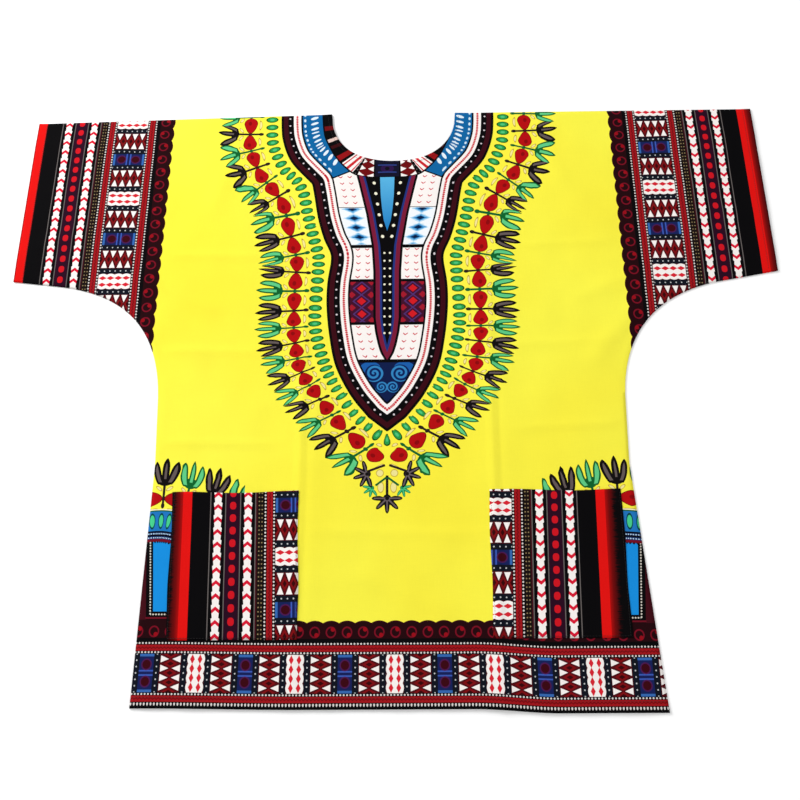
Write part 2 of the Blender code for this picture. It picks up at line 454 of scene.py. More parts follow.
# Every second bead, from two before the middle, and every fruit, from one before the middle.
BEADS = (
    (-24, 338), (0, 321), (24, 338), (42.5, 357), (58.5, 380), (70.5, 400), (79.5, 418), (86.5, 438),
    (92.5, 460), (96, 482), (96, 505), (95, 533), (94, 560), (94, 583), (100, 607), (106, 631),
    (112, 656), (117, 682), (128, 705), (145, 722), (157, 746), (165, 770), (167, 797), (168, 824),
    (168, 850),
)
FRUITS = (
    (-14.5, 300), (14.5, 300), (39, 320), (62, 344), (78, 364), (94, 386), (106, 403), (115, 422),
    (119, 443), (123, 466), (124, 488), (124.5, 516), (124, 546), (123, 573), (128.5, 600), (137, 631),
    (145.5, 666), (162, 692), (179, 714), (191, 743), (198, 770), (198, 801), (199, 831), (199, 861),
)
BEAD_LINE, GARLAND_LINE = spline(BEADS), spline(FRUITS)
BEAD_RUNS = BEAD_PITCH * (2 * np.arange(len(BEAD_LINE)) / SPLINE_STEPS - 2)
GARLAND_RUNS = STEM_PITCH * (np.arange(len(GARLAND_LINE)) / SPLINE_STEPS - 0.5)
LADDER = ((-25, 711), (0, 711), (25, 711), (45, 716), (60, 729), (73, 746), (83, 766), (90, 788), (94, 840))
CORNER = ((180, 198), (206, 221), (230, 234), (258, 242), (286, 246), (330, 243))
LADDER_LINE, CORNER_LINE = spline(LADDER), spline(CORNER)

# A ladder's run is a plain length from the middle, and a corner's is counted in stems from x = 286.
LADDER_RUNS = lengths_along(LADDER_LINE) + LADDER[0][0]
CORNER_STEM = 286
CORNER_PITCH = 28
corner_lengths = lengths_along(CORNER_LINE)
CORNER_RUNS = corner_lengths - np.interp(CORNER_STEM, CORNER_LINE[:, 0], corner_lengths)
CORNER_RUNS = CORNER_RUNS * STEM_PITCH / CORNER_PITCH
CORNER_SHIFT = 11.0
CORNER_WIDE = 176
CORNER_TOP = 330
stems = int(GARLAND_RUNS[-1] / STEM_PITCH)
print("outline", len(OUTLINE), "points; garland has", stems, "stems on each side")


# %% Lines of the V in the middle of the ornament, and border positions
# Heights, and the half widths there, of the V's edge, its column of dots and its blue wedge.
V_LINES = (
    (
        (300, 428, 440, 452, 470, 490, 560, 600, 650, 700, 712),
        (-40, 0, 6.5, 10, 13.7, 16, 16.5, 19, 27, 38, 41),
    ),
    ((430, 590, 614, 701, 715), (3.6, 3.8, 6.4, 18.6, 20.5)),
    ((600, 622, 640, 660, 680, 709), (-5, 0, 5.0, 7.5, 9.2, 10.2)),
)
STANDARD_PERIOD = 128.0
SCALLOP_EDGE = 314.0
SLEEVE_MIDDLE = -4.0
SLEEVE_BLOCKS = ((744, 130), (754, 133))
HEM_SCALLOP = 98.5
HEM_TOP = 200
HEM_PERIOD = 115.3
HEM_STRETCH = 1.035
HEM_PHASE = 57.65
LAST_BORDER_ROW = 98.8
HEM_WIDE = 318
UNLOBED_WIDE = 178


def border_places(x, y):
    """Across and along the printed border, in its standard size, and which way its arrows point.

    The sleeves count outwards from the border's scalloped edge, and the hem counts down from it.
    """
    across = np.abs(x - SLEEVE_MIDDLE) - SCALLOP_EDGE
    (left_block, left_period), (right_block, right_period) = SLEEVE_BLOCKS
    block, period = np.where(x < 0, left_block, right_block), np.where(x < 0, left_period, right_period)
    along = (y - block) * STANDARD_PERIOD / period
    on_hem = (np.abs(x) < HEM_WIDE) & (y < HEM_TOP)
    hem_across = np.minimum((HEM_SCALLOP - y) * HEM_STRETCH, LAST_BORDER_ROW)
    hem_along = (x - HEM_PHASE) * STANDARD_PERIOD / HEM_PERIOD
    way = np.where(x < 0, 1.0, -1.0) * np.where(on_hem & (np.abs(x) > UNLOBED_WIDE), 2.0, 1.0)
    return np.where(on_hem, hem_across, across), np.where(on_hem, hem_along, along), way


def chest_places(x, y):
    """Depth inside the ornament's outline, the run along it, and the distance from its middle line."""
    aside = np.abs(x - ORNAMENT_MIDDLE)
    run, away = along_and_away(OUTLINE, aside, y)
    half = np.interp(y, OUTLINE[::-1, 1], OUTLINE[::-1, 0])
    inside = (aside < half) & (y > OUTLINE[-1, 1])
    return np.where(inside, np.abs(away), -np.abs(away)), run, aside


def v_places(aside, y):
    """How far outside the V's edge, its dots and its blue wedge a point is."""
    return [aside - np.interp(y, heights, halves) for heights, halves in V_LINES]


def guided(path, runs, x, y):
    """Run along a guide curve, read between the runs at its points, and distance outside it."""
    along, away = along_and_away(path, x, y)
    return np.interp(along, lengths_along(path), runs), away


# %% Zones of the print
FIELD, BORDER, CHEST, GARLAND = range(4)
CHEST_MARGIN = 3.4
BORDER_MARGIN = 7
GARLAND_BAND = (-50, 64)
GARLAND_WIDE = 300
SPRAY_HALF = 62
SPRAY_HEIGHTS = (214, 340)
CORNER_SIDE = 184
CORNER_FOOT = 92
CORNER_REACH = 60
COLUMN_FOOT = 99


def print_places(x, y):
    """Every attribute of the print for points given in metres, and the zone that each lies in.

    Each attribute holds three numbers. A y below 0, in a turned hem, is read as the cloth's face.
    """
    x, y = 1000 * x, 1000 * np.abs(y)
    across, along, way = border_places(x, y)
    depth, run, aside = chest_places(x, y)
    beads_run, beads_out = guided(BEAD_LINE, BEAD_RUNS, aside, y)
    garland_run, garland_out = guided(GARLAND_LINE, GARLAND_RUNS, aside, y)
    corner_run, corner_out = guided(CORNER_LINE, CORNER_RUNS, np.abs(x) + CORNER_SHIFT * (x > 0), y)
    in_corner = (np.abs(x) > CORNER_WIDE) & (y < CORNER_TOP)
    garland_run = np.where(in_corner, corner_run, garland_run)
    garland_out = np.where(in_corner, -corner_out, garland_out)
    ladder_run, ladder_out = guided(LADDER_LINE, LADDER_RUNS, aside, y)
    tight = np.where(in_corner, 1.0, smooth((y - 400) / 50) * smooth((670 - y) / 50))
    attributes = {
        "border": (across, along, way),
        "chest": (depth, run, aside),
        "arms": v_places(aside, y),
        "ladder": (-ladder_out, ladder_run, y),
        "garland": (garland_run, garland_out, beads_run),
        "places": (aside, y, beads_out),
        "sides": (np.abs(x), smooth((y - 370) / 60), tight),
    }
    zone = np.full(x.shape, FIELD)
    in_band = (garland_out > GARLAND_BAND[0]) & (garland_out < GARLAND_BAND[1])
    zone[in_band & (aside < GARLAND_WIDE) & ~in_corner] = GARLAND
    zone[(aside < SPRAY_HALF) & (y > SPRAY_HEIGHTS[0]) & (y < SPRAY_HEIGHTS[1])] = GARLAND
    zone[in_corner & (np.abs(x) > CORNER_SIDE) & (y > CORNER_FOOT) & (garland_out < CORNER_REACH)] = GARLAND
    zone[depth > -CHEST_MARGIN] = CHEST
    zone[(across > -BORDER_MARGIN) & ~(in_corner & (y > COLUMN_FOOT))] = BORDER
    return {name: np.column_stack(parts) for name, parts in attributes.items()}, zone


def carry_print(piece, attributes):
    """Stores each set of coordinates on the piece's points."""
    for name, values in attributes.items():
        made = piece.data.attributes.new(name, "FLOAT_VECTOR", "POINT")
        made.data.foreach_set("vector", np.ascontiguousarray(values, np.float32).ravel())


def paint_zones(piece, x, y, faces, materials):
    """Gives each face the material of the zone that its middle lies in."""
    middle_x, middle_y = x[faces].mean(axis=1), y[faces].mean(axis=1)
    _, zone = print_places(middle_x, middle_y)
    for material in materials:
        piece.data.materials.append(material)
    piece.data.polygons.foreach_set("material_index", zone.astype(np.int32))
    return np.bincount(zone, minlength=len(materials))


panel_print, _ = print_places(sheet_x, sheet_y)
for panel in (front, back):
    carry_print(panel, panel_print)
print("coordinates carried by each panel:", ", ".join(panel_print))

# %% [markdown]
# ## Printing inks
# Each motif is a small sum on coordinates: inside an ellipse, between two lines, under a ridge.
# The Ink class lets such sums be written as Python expressions. Each operator adds one Math node,
# and each comparison gives a mask of 0 or 1. A colour is then laid over the one below it with
# that mask, one block after another, as a printer does.

# %% A number drawn over the cloth
def maths(operation, swapped=False):
    """A method that adds one Math node behind a value, or with its two values swapped."""

    def add_node(self, *others):
        values = (*others, self) if swapped else (self, *others)
        return self.node("ShaderNodeMath", {"operation": operation}, dict(enumerate(values)))

    return add_node


class Ink:
    """One output socket of a material's nodes. Operators on it add Math nodes behind it."""

    def __init__(self, tree, socket=None):
        self.tree = tree
        self.socket = socket

    def node(self, kind, settings=None, values=None, output=0):
        """Adds a node: its settings first, then its sockets' values or links. Returns one output."""
        made = self.tree.nodes.new(kind)
        for name, setting in (settings or {}).items():
            if name == "stops":
                lay_stops(made.color_ramp, setting)
            else:
                setattr(made, name, setting)
        for key, value in (values or {}).items():
            if isinstance(value, Ink):
                self.tree.links.new(value.socket, made.inputs[key])
            else:
                made.inputs[key].default_value = value
        return Ink(self.tree, made.outputs[output] if made.outputs else None)

    __add__ = __radd__ = maths("ADD")
    __sub__, __rsub__ = maths("SUBTRACT"), maths("SUBTRACT", swapped=True)
    __mul__ = __rmul__ = __and__ = maths("MULTIPLY")
    __truediv__ = maths("DIVIDE")
    __lt__, __gt__ = maths("LESS_THAN"), maths("GREATER_THAN")
    __abs__ = maths("ABSOLUTE")
    __or__ = most = maths("MAXIMUM")
    least = maths("MINIMUM")
    power, root = maths("POWER"), maths("SQRT")
    sine, cosine, turn_from = maths("SINE"), maths("COSINE"), maths("ARCTAN2")
    floor, fraction = maths("FLOOR"), maths("FRACT")
    # Runs up from 0 to the given half and down again, so that a drawing is mirrored at both ends.
    mirrored = maths("PINGPONG")

    def squared(self):
        return self * self

    def every(self, pitch):
        """Distance past the nearest of the places 0, pitch, 2 pitch and so on, with its sign."""
        return self.node("ShaderNodeMath", {"operation": "WRAP"}, {0: self, 1: pitch / 2, 2: -pitch / 2})

    def within(self, low, high):
        """1 between the two values."""
        return (self > low) & (self < high)

    def noise(self, scale, detail):
        """Soft noise over a place, about 0.5 in its middle."""
        return self.node("ShaderNodeTexNoise", values={"Vector": self, "Scale": scale, "Detail": detail})

    def place(self):
        """The point's own place on the object, in metres."""
        return self.node("ShaderNodeTexCoord", output="Object")

    def parts(self):
        """The three numbers of a vector."""
        split = self.node("ShaderNodeSeparateXYZ", values={0: self}).socket.node
        return [Ink(self.tree, part) for part in split.outputs]

    def carried(self, name):
        """The three numbers that the mesh carries under this name."""
        return self.node("ShaderNodeAttribute", {"attribute_name": name}, output="Vector").parts()


def lay_stops(ramp, stops):
    """Sets a colour ramp's way of blending and its stops: ("CONSTANT", (place, colour), ...)."""
    ramp.interpolation = stops[0]
    ramp.elements.remove(ramp.elements[1])
    ramp.elements[0].position, ramp.elements[0].color = stops[1]
    for place, colour in stops[2:]:
        ramp.elements.new(place).color = colour


# %% Colours, and shapes to print them in
def linear(colour):
    """A colour given as it looks on a screen, 0 to 255, in the linear light that nodes use."""
    if isinstance(colour, Ink):
        return colour
    parts = np.array(colour) / 255.0
    parts = np.where(parts <= 0.04045, parts / 12.92, ((parts + 0.055) / 1.055) ** 2.4)
    return (*parts.tolist(), 1.0)


def over(under, mask, colour):
    """The new colour laid over the one under it where the mask is 1."""
    values = {0: mask, 6: linear(under), 7: linear(colour)}
    return mask.node("ShaderNodeMix", {"data_type": "RGBA"}, values, output=2)


def lay(colour, *layers, inside=None):
    """Lays each pair of a mask and a colour over the last, all of them inside one more mask."""
    for mask, ink in layers:
        colour = over(colour, mask if inside is None else inside & mask, ink)
    return colour


def stripes(value, low, high, *stops, blend="CONSTANT"):
    """A colour for each stretch of a value: the stops give where each one starts."""
    places = [((place - low) / (high - low), linear(colour)) for place, colour in stops]
    part = (value - low) / (high - low)
    return part.node("ShaderNodeValToRGB", {"stops": (blend, *places)}, {0: part})


def ellipse(u, v, half_u, half_v):
    """Squared distance from the middle in half widths: below 1 inside the ellipse."""
    return (u / half_u).squared() + (v / half_v).squared()


def disc(u, v, half_u, half_v=None):
    """1 inside a disc, or inside an ellipse where two half widths are given."""
    return ellipse(u, v, half_u, half_v or half_u) < 1


def lozenge(u, v, half_u, half_v):
    """Distance in half widths added along both ways: below 1 inside the lozenge."""
    return abs(u) / half_u + abs(v) / half_v


YELLOW, GOLD = (253, 246, 74), (253, 236, 58)
BLACK, NIGHT, SOOT = (9, 8, 10), (36, 9, 14), (40, 32, 30)
MAROON, WINE, PLUM = (66, 14, 24), (84, 15, 22), (42, 12, 32)
RED, ROSE = (226, 20, 18), (216, 38, 52)
WHITE, CREAM, GREY, BROWN = (250, 244, 240), (250, 240, 200), (104, 98, 96), (150, 128, 88)
NAVY, BRIGHT_BLUE, STEM_GREEN = (16, 30, 74), (24, 142, 222), (16, 100, 50)
print("the field's yellow in linear light:", np.round(linear(YELLOW)[:3], 3).tolist())

# %% [markdown]
# ## The cotton under the print
# Plain-weave cotton is matt. Close up it is a grid of crossing threads, and here and there one is
# thicker, which shows as a faint streak. The weave is two crossing sine waves in a bump, and the
# streaks are noise stretched along each direction of the threads. They change the light a little,
# and they are painted into the colour too, a little lighter where they stand up: painted highlight.
# Soft patches of noise make the printed colour a little lighter and darker: painted sheen.

# %% Cotton finish
THREAD_PITCH = 0.0006
STREAK_STRETCHES = ((70, 1500, 70), (1500, 70, 70))


def new_material(name):
    """A material with no nodes yet. Returns it and the value that its first nodes start from."""
    material = bpy.data.materials.new(name)
    material.use_nodes = True
    material.node_tree.nodes.clear()
    return material, Ink(material.node_tree)


def surface(start, colour, shade, roughness, shine, relief):
    """The finish: a colour and its shade, how dull it is, and a relief of strength, depth and height."""
    strength, depth, height = relief
    shaded = start.node("ShaderNodeHueSaturation", values={"Color": colour, "Value": shade})
    bump = start.node("ShaderNodeBump", values={"Strength": strength, "Distance": depth, "Height": height})
    values = {"Base Color": shaded, "Roughness": roughness, "Normal": bump, "Specular IOR Level": shine}
    shader = start.node("ShaderNodeBsdfPrincipled", values=values)
    start.node("ShaderNodeOutputMaterial", values={"Surface": shader})


def cotton(name, draw):
    """A cloth material whose print is drawn by the given function."""
    material, start = new_material(name)
    place = start.place()
    streaks = [
        start.node("ShaderNodeMapping", values={"Vector": place, "Scale": stretch}).noise(1.0, 2.0)
        for stretch in STREAK_STRETCHES
    ]
    streak = (streaks[0] + streaks[1]) * 0.5
    # Painted light in the shade: the streaks are painted highlight and the soft noise is painted sheen;
    # 0.77 dims every colour evenly.
    shade = 0.77 + streak * 0.09 + place.noise(9.0, 3.0) * 0.05
    warp, weft = [(part * (2 * np.pi / THREAD_PITCH)).sine() for part in place.parts()[:2]]
    height = warp * weft * 0.35 + streak * 0.9
    surface(start, draw(start), shade, 0.8 + streak * 0.16, 0.03, (0.35, 0.00025, height))
    print(name, "has", len(material.node_tree.nodes), "nodes")
    return material


def yellow_ground(start):
    """The plain yellow of the field, a little more golden in soft patches."""
    golden = (start.place().noise(3.2, 2.0) - 0.5) * 2.5 + 0.25
    return over(YELLOW, golden.least(1.0).most(0.0), GOLD)


# %% [markdown]
# ## The border
# One border runs down both sleeves, up both pockets and along the hem: a scalloped row of rings,
# dotted lines, red bands, a panel of blocks, and then arrows, hearts and a brushed red stripe.
# The panel repeats every 128 mm and is the same in both directions, so folding its coordinate
# back and forth draws it from a quarter of the work. All of its sizes are in millimetres.

# %% The border's drawing
PANEL_MIDDLE = 62.0
PANEL_HALF = 22.0
ARROWS_MIDDLE = 136.5
ARROW_PITCH = 15.7
RING_PITCH = 21.0
RING_LINE = 13.8
ROW_PITCH = 10.7


def draw_scallops(across, along, way, colour):
    """A row of rings with a small disc in each, on a ground whose edge is a row of lobes.

    Under the corner garlands, where the way is 2 or -2, the ground has no lobed edge.
    """
    aside, down = along.every(RING_PITCH), across - RING_LINE
    turn = ((along + RING_PITCH / 2).every(2 * RING_PITCH) > 0) * 6.8 - 3.4
    colour = lay(
        colour,
        (abs(ellipse(aside, down, 1, 1).root() - 5.9) < 0.95, (120, 16, 34)),
        (disc(aside - 2.4, down - turn, 2.7), (150, 14, 26)),
    )
    lobe = across - aside.squared() * 0.026
    return lay(colour, (lobe < 1, MAROON), (lobe < 0, yellow_ground(across)), inside=abs(way) < 1.5)


def draw_bands(across, along, colour):
    """Two red bands with a zigzag in each, and dotted lines at both edges of each band."""
    out = abs(across - PANEL_MIDDLE)
    row = abs(out - 23.9).least(abs(out - 34.6))
    return lay(
        colour,
        (out < PANEL_HALF, WINE),
        (out.within(25.6, 32.6), (160, 22, 28)),
        (abs(out - 28.2 - along.mirrored(2.4) * 0.7) < 0.75, (116, 12, 18)),
        (disc(along.every(4.3), row, 1.2, 1.1), (222, 214, 210)),
    )


def draw_blocks(across, along, colour):
    """The panel: blue blocks with discs, dotted bars, triangles with lozenges, and white blocks."""
    down = across - PANEL_MIDDLE
    out = abs(down)
    fold = along.mirrored(STANDARD_PERIOD / 2)
    blue = fold < 9.4
    spot = ellipse(fold, out - 9.8, 6.8, 6.8)
    bar = abs(fold - 13.2).least(abs(fold - 48.6))
    across_block = abs(fold - 31.0)
    block = across_block < 12.8
    row = (down + ROW_PITCH / 2).every(ROW_PITCH)
    red = lozenge(across_block, down.every(ROW_PITCH), 8.8, 4.8)
    white_side = STANDARD_PERIOD / 2 - fold
    return lay(
        colour,
        (blue, (24, 34, 88)),
        (blue & (out > 19.0), (54, 104, 176)),
        (blue & out.within(1.6, 3.4), (60, 90, 180)),
        (spot < 1, (76, 26, 80)),
        (spot < 0.6, (60, 8, 20)),
        (bar < 4.0, (18, 22, 32)),
        (disc(bar, down.every(7.3), 0.95), (196, 198, 200)),
        (block & (abs(row) < (across_block - 2.2) * 0.38), WHITE),
        (block & (red < 1), (128, 16, 20)),
        (block & (red < 0.5), (58, 8, 12)),
        (white_side < 11.4 - row.squared() * 0.055, WHITE),
        (lozenge(white_side - 4.9, row, 3.1, 5.6) < 1, ROSE),
        inside=out < PANEL_HALF,
    )


def draw_arrows(across, along, way, colour):
    """Two columns of feathered arrows with a column of hearts between them, and grey lines."""
    out = abs(across - ARROWS_MIDDLE)
    run, aside = along * way, abs(out - 18.5)
    phase = (run + aside * 0.85).every(ARROW_PITCH)
    feather = aside < 4.5 + phase * 0.09
    beat = run.every(ARROW_PITCH)
    row = abs(across - 100.7).least(abs(across - 104.2))
    return lay(
        colour,
        (abs(out - 9.2).least(abs(out - 27.7)) < 0.6, GREY),
        (feather, WHITE),
        (feather & (abs(phase) < 2.3), (218, 26, 54)),
        (disc(out - abs(beat) * 0.12, beat, 3.8, 4.8), (206, 22, 34)),
        (disc(row, along.every(5.2), 0.85), BROWN),
    )


def draw_fringe(across, along, colour):
    """The red stripe's outer side, brushed out in streaks that thin away."""
    streak = across.node("ShaderNodeCombineXYZ", values={0: across * 0.035, 1: along * 0.75})
    brushed = across.within(198.5, 218.0) & (streak.noise(1.0, 3.0) * 25 > across - 197.0)
    worn = stripes(
        across, 198, 218,
        (198, (176, 15, 14)), (203, (112, 11, 12)), (209, (50, 9, 11)), (215, BLACK), blend="LINEAR",
    )
    return over(colour, brushed, worn)


def draw_border(start):
    """The whole border, from its plain stripes to the yellow beyond its lobes."""
    across, along, way = start.carried("border")
    colour = stripes(
        across, 0, 220,
        (0, NIGHT), (21, BLACK), (98, (26, 18, 16)), (106, MAROON), (108, BLACK),
        (128, PLUM), (145.5, BLACK), (187, RED), (199, BLACK),
    )
    colour = draw_blocks(across, along, draw_bands(across, along, colour))
    colour = draw_fringe(across, along, draw_arrows(across, along, way, colour))
    return draw_scallops(across, along, way, colour)


# %% [markdown]
# ## The chest ornament
# A long shield hangs from the neck. From its edge inwards it has black and maroon rims, a row of
# dots, a white band with a dashed red line, and then cells of chevrons, clouded blue and
# lozenges, set on both sides of a striped V. The depth inside the outline gives the rims, and
# the V has its own edge. What lies between the two is measured from both, so that each cell stays
# centred as the shield narrows.

# %% The shield's drawing
WHITE_BAND = (17.8, 28.6)
SHIELD_DEPTH = 31.2
CELL_INSET = 2.5
LADDER_GAP = 2.4
CELL_SLOPE = 0.44
CELL_SHOULDER = (73, 711)
# Each scroll's distance from the middle line, its height and its radius.
SCROLLS = ((17.0, 411, 12.0), (7.5, 392, 8.0))
CHEVRON_MIDDLE = 6.4
LOZENGE_PITCH = 19.0
LEAF_PITCH = 10.8


def draw_rims(depth, run):
    """The rims: black, maroon, black with a row of dots, and a white band with a dashed red line."""
    colour = stripes(
        depth, 0, 64,
        (0, BLACK), (3.3, (58, 12, 22)), (10.0, BLACK), (WHITE_BAND[0], WHITE), (WHITE_BAND[1], BLACK),
    )
    line = abs(depth - 23.2)
    return lay(
        colour,
        (disc(depth - 12.9, run.every(12.9), 1.35), (215, 205, 210)),
        (line < 1.0, (236, 150, 150)),
        ((line < 1.6) & (abs(run.every(3.3)) < 1.0), (198, 34, 48)),
    )


def draw_clouded(aside, up):
    """A cell of three dark blue spots whose edges run, as where a yarn was dyed before weaving."""
    place = up.node("ShaderNodeCombineXYZ", values={0: aside * 0.25, 1: up * 0.6})
    level = lozenge(aside, (up - 628).every(15.0), 16.0, 8.4) + place.noise(1.0, 2.0) * 0.5 - 0.25
    return stripes(
        level, 0, 1.2,
        (0, (8, 18, 40)), (0.3, (14, 40, 84)), (0.5, (48, 140, 206)), (0.75, (150, 206, 238)),
        (0.95, (244, 248, 252)), blend="LINEAR",
    )


def draw_cells(depth, edge, up, cells, colour):
    """Five cells on each side of the V: white with red chevrons, clouded, and red lozenges on maroon."""
    aside = abs((edge - CELL_INSET - depth + SHIELD_DEPTH) * 0.5)
    white = up.within(661, 722) | up.within(548, 596) | up.within(430.5, 480)
    off_middle = abs(aside - CHEVRON_MIDDLE)
    chevron = abs(up.every(10.6) - off_middle * 0.8 + 1.0) < 0.85
    red = up.within(484, 544)
    row = (up - 515).every(LOZENGE_PITCH)
    between = (up - 515 + LOZENGE_PITCH / 2).every(LOZENGE_PITCH)
    return lay(
        colour,
        (white, WHITE),
        (white & chevron & (off_middle < 2.9), (206, 40, 58)),
        (up.within(601, 660), (236, 244, 250)),
        (red, (66, 18, 44)),
        (red & (abs(lozenge(aside, row, 11, 9.5) - 1) < 0.12), (80, 48, 112)),
        (red & (lozenge(aside, row, 6.2, 5.8) < 1), (206, 28, 36)),
        (red & (lozenge(aside - 13, between, 5.2, 5.0) < 1), (160, 26, 44)),
        (up.within(601.5, 659.5), draw_clouded(aside, up)),
        inside=cells & (edge > CELL_INSET),
    )


def draw_base(aside, up, shield, colour):
    """Below the cells: scrolls in light blue on navy, each a stripe that winds round its middle."""
    base = shield & (up < 426)
    layers = [(disc(aside - 22, up - 419, 13, 8), (28, 92, 168))]
    for middle, height, size in SCROLLS:
        across, down = aside - middle, up - height
        away = ellipse(across, down, 1, 1).root()
        wound = (away / (size * 0.5) - down.turn_from(across) / (2 * np.pi)).fraction() < 0.5
        layers += [(away < size, (14, 34, 88)), ((away < size) & wound, (50, 130, 190))]
    return lay(over(colour, base, NAVY), *layers, inside=base)


def draw_v(edge, dots, wedge, up, inside, colour):
    """The V: a red and a blue stripe, black inside them with two rows of dots, and a blue wedge."""
    low_dots = up.within(462, 590) & disc(dots, up.every(12.0), 1.5)
    high_dots = up.within(604, 708) & disc(dots, (up - 631).every(17.3), 2.2, 2.4)
    blue = stripes(up, 620, 712, (620, (20, 120, 190)), (712, (90, 180, 225)), blend="LINEAR")
    return lay(
        colour,
        ((up > 430) & edge.within(-6.4, -0.8), (122, 28, 56)),
        ((up > 430) & edge.within(-9.4, -6.4), (34, 52, 122)),
        (low_dots | high_dots, (244, 240, 214)),
        ((wedge < 0) & up.within(600, 709.5), blue),
        inside=inside,
    )


def draw_side_bands(depth, run, field, colour):
    """Blue on both sides of the neck, with a row of slanting white leaves and a row of dots."""
    leaf = disc(depth - 48.5, (run + depth * 0.3).every(LEAF_PITCH), 5.6, 2.6)
    edge_dots = disc(depth - 34.6, run.every(LEAF_PITCH), 1.6, 3.0)
    colour = over(colour, field, (16, 100, 160))
    return lay(colour, (leaf, (226, 240, 248)), (edge_dots, (206, 230, 244)), inside=field)


def draw_ladder(above, run, field, colour):
    """The band along the scoop of the neck: blocks like the border's, bent round it."""
    rungs = stripes(
        run, 0, 180,
        (0, (20, 20, 42)), (16.5, BLACK), (19, (110, 15, 18)), (42.5, BLACK), (50, WHITE), (72, BLACK),
        (77, (150, 20, 24)), (86, BLACK), (100, (60, 14, 18)), (106, BLACK), (112, (230, 200, 190)),
        (118, BLACK), (134, (110, 16, 20)), (142, BLACK),
    )
    down = above - 13
    across_block = abs(run - 31)
    row = (above - 1).every(11.6)
    return lay(
        over(colour, field, rungs),
        (disc(run, down, 9, 7), (44, 22, 70)),
        ((run < 13) & (abs(abs(down) - 6.0) < 1), (44, 62, 130)),
        (disc(run, down, 3), (16, 14, 24)),
        ((across_block < 11.5) & (abs(row) < (across_block - 1.8) * 0.44), WHITE),
        (run.within(52, 70) & (abs((run - 61).every(9.0)) < 2.2), (206, 40, 48)),
        (run.within(42.5, 50) & disc(run - 46.2, above.every(7.0), 1), GREY),
        inside=field,
    )


def draw_chest(start):
    """The whole ornament: its rims, and inside them the cells, base, V, side bands and ladder."""
    depth, run, aside = start.carried("chest")
    edge, dots, wedge = start.carried("arms")
    above, ladder_run, up = start.carried("ladder")
    shield = depth > SHIELD_DEPTH
    shoulder = up - CELL_SHOULDER[1] - (CELL_SHOULDER[0] - aside) * CELL_SLOPE
    below = shield & (above < -LADDER_GAP)
    colour = draw_rims(depth, run)
    colour = draw_cells(depth, edge, up, below & (shoulder < -1.2), colour)
    colour = draw_base(aside, up, shield, colour)
    colour = draw_v(edge, dots, wedge, up, shield & (above < -1), colour)
    colour = draw_side_bands(depth, run, below & (shoulder > 1.2), colour)
    colour = draw_ladder(above, ladder_run, shield & (above > 0), colour)
    return over(colour, depth < 0, yellow_ground(start))


# %% [markdown]
# ## The garland
# Round the shield runs a ring of green beads, and outside it a garland: dark stems and green
# stems by turns, a tulip on each, and two red fruits hanging on each dark stem. The garland's
# curve gives the run along it and the distance out, and the stems come every 27 mm of the run.
# A tulip is the union of a cup and three tapering petals, and a paler core is printed inside each
# petal, which leaves a dark line round it. The same garland springs up again at the two bottom
# corners.

# %% The garland's drawing
TULIP_BASE = 16.5
PETAL_LENGTH = 27.0
MIDDLE_PETAL = 30.5
LEAN_SLOPE = 0.2
FAR_AWAY = 500
ASH_BLOOM = ((20, 17, 18), (104, 92, 96))
MINT_BLOOM = ((30, 140, 80), (80, 205, 140))


def tulip_distance(aside, height, tight, light):
    """How far outside a tulip a point is: below 0 in its cup or in one of its three petals.

    The outer petals part from the cup as a square root does. Where the row is tight, the light
    ones close round the middle petal, and the dark ones stay narrow. Returns the distance for
    the whole tulip, and for the petals alone.
    """
    height = height * (1 - tight * 0.16)
    rise = height.most(0.0)
    cup = (ellipse(aside, height - 5.6, 8.0, 5.8).root() - 1) * 5.0
    spread = 2.65 - rise * tight * (light * 0.02 + 0.025)
    reach = rise.root() * spread * (tight * (light * 0.3 - 0.06) + 1)
    outer = abs(abs(aside) - reach) - 4.0 + (rise / PETAL_LENGTH).power(6) * 4.0
    middle = abs(aside) - 3.5 + (rise / MIDDLE_PETAL).power(6) * 3.5
    petals = outer.most(1.5 - height).least(middle.most(5 - height))
    return cup.least(petals), petals


def draw_beads(run, out, side, colour):
    """Green ovals that point outwards, each with a dark edge and a light middle."""
    bead = ellipse(run.every(BEAD_PITCH), out, side * 1.1 + 3.6, 8.9)
    return lay(colour, (bead < 1, (14, 84, 30)), (bead < 0.6, (40, 155, 76)), (bead < 0.14, (80, 196, 126)))


def draw_leaves(fold, aside, out, colour):
    """Thin cream leaves inside the fruits and beside the stems, with a brown line round them."""
    inner = ellipse(fold - 13.5, out + 14.5 - (fold - 13.5).squared() * 0.02, 7.6, 2.1)
    beside = abs(aside) - 5.6
    outer = ellipse((beside + out - 13.0) * 0.7, (beside - out + 13.0) * 0.7, 4.6, 1.9)
    leaf = inner.least(outer)
    return lay(colour, (leaf < 1, (190, 160, 60)), (leaf < 0.5, (246, 232, 150)))


def draw_stems(aside, out, side, dark, light, colour):
    """A thin stem with a bud at its inner end and a knot where the fruits hang."""
    end = side * 7 + 9
    stem = (abs(aside) < 1.4) & (out + end > 0) & (out < 18)
    stem = stem | disc(aside, out + end, 2.3, 3.8) | disc(aside, out, 3.0, 2.4)
    return lay(colour, (dark, SOOT), (light, STEM_GREEN), inside=stem)


def draw_tulips(beside, out, tight, dark, light, colour):
    """A dark tulip has grey-brown cores in a black outline, and a green one is pale inside."""
    whole, petals = tulip_distance(beside, out - TULIP_BASE, tight, light)
    colour = lay(colour, (whole < 0, (18, 15, 16)), (petals < -2.4, (100, 88, 86)), inside=dark)
    return lay(colour, (whole < 0, (16, 98, 46)), (petals < -1.8, (96, 204, 134)), inside=light)


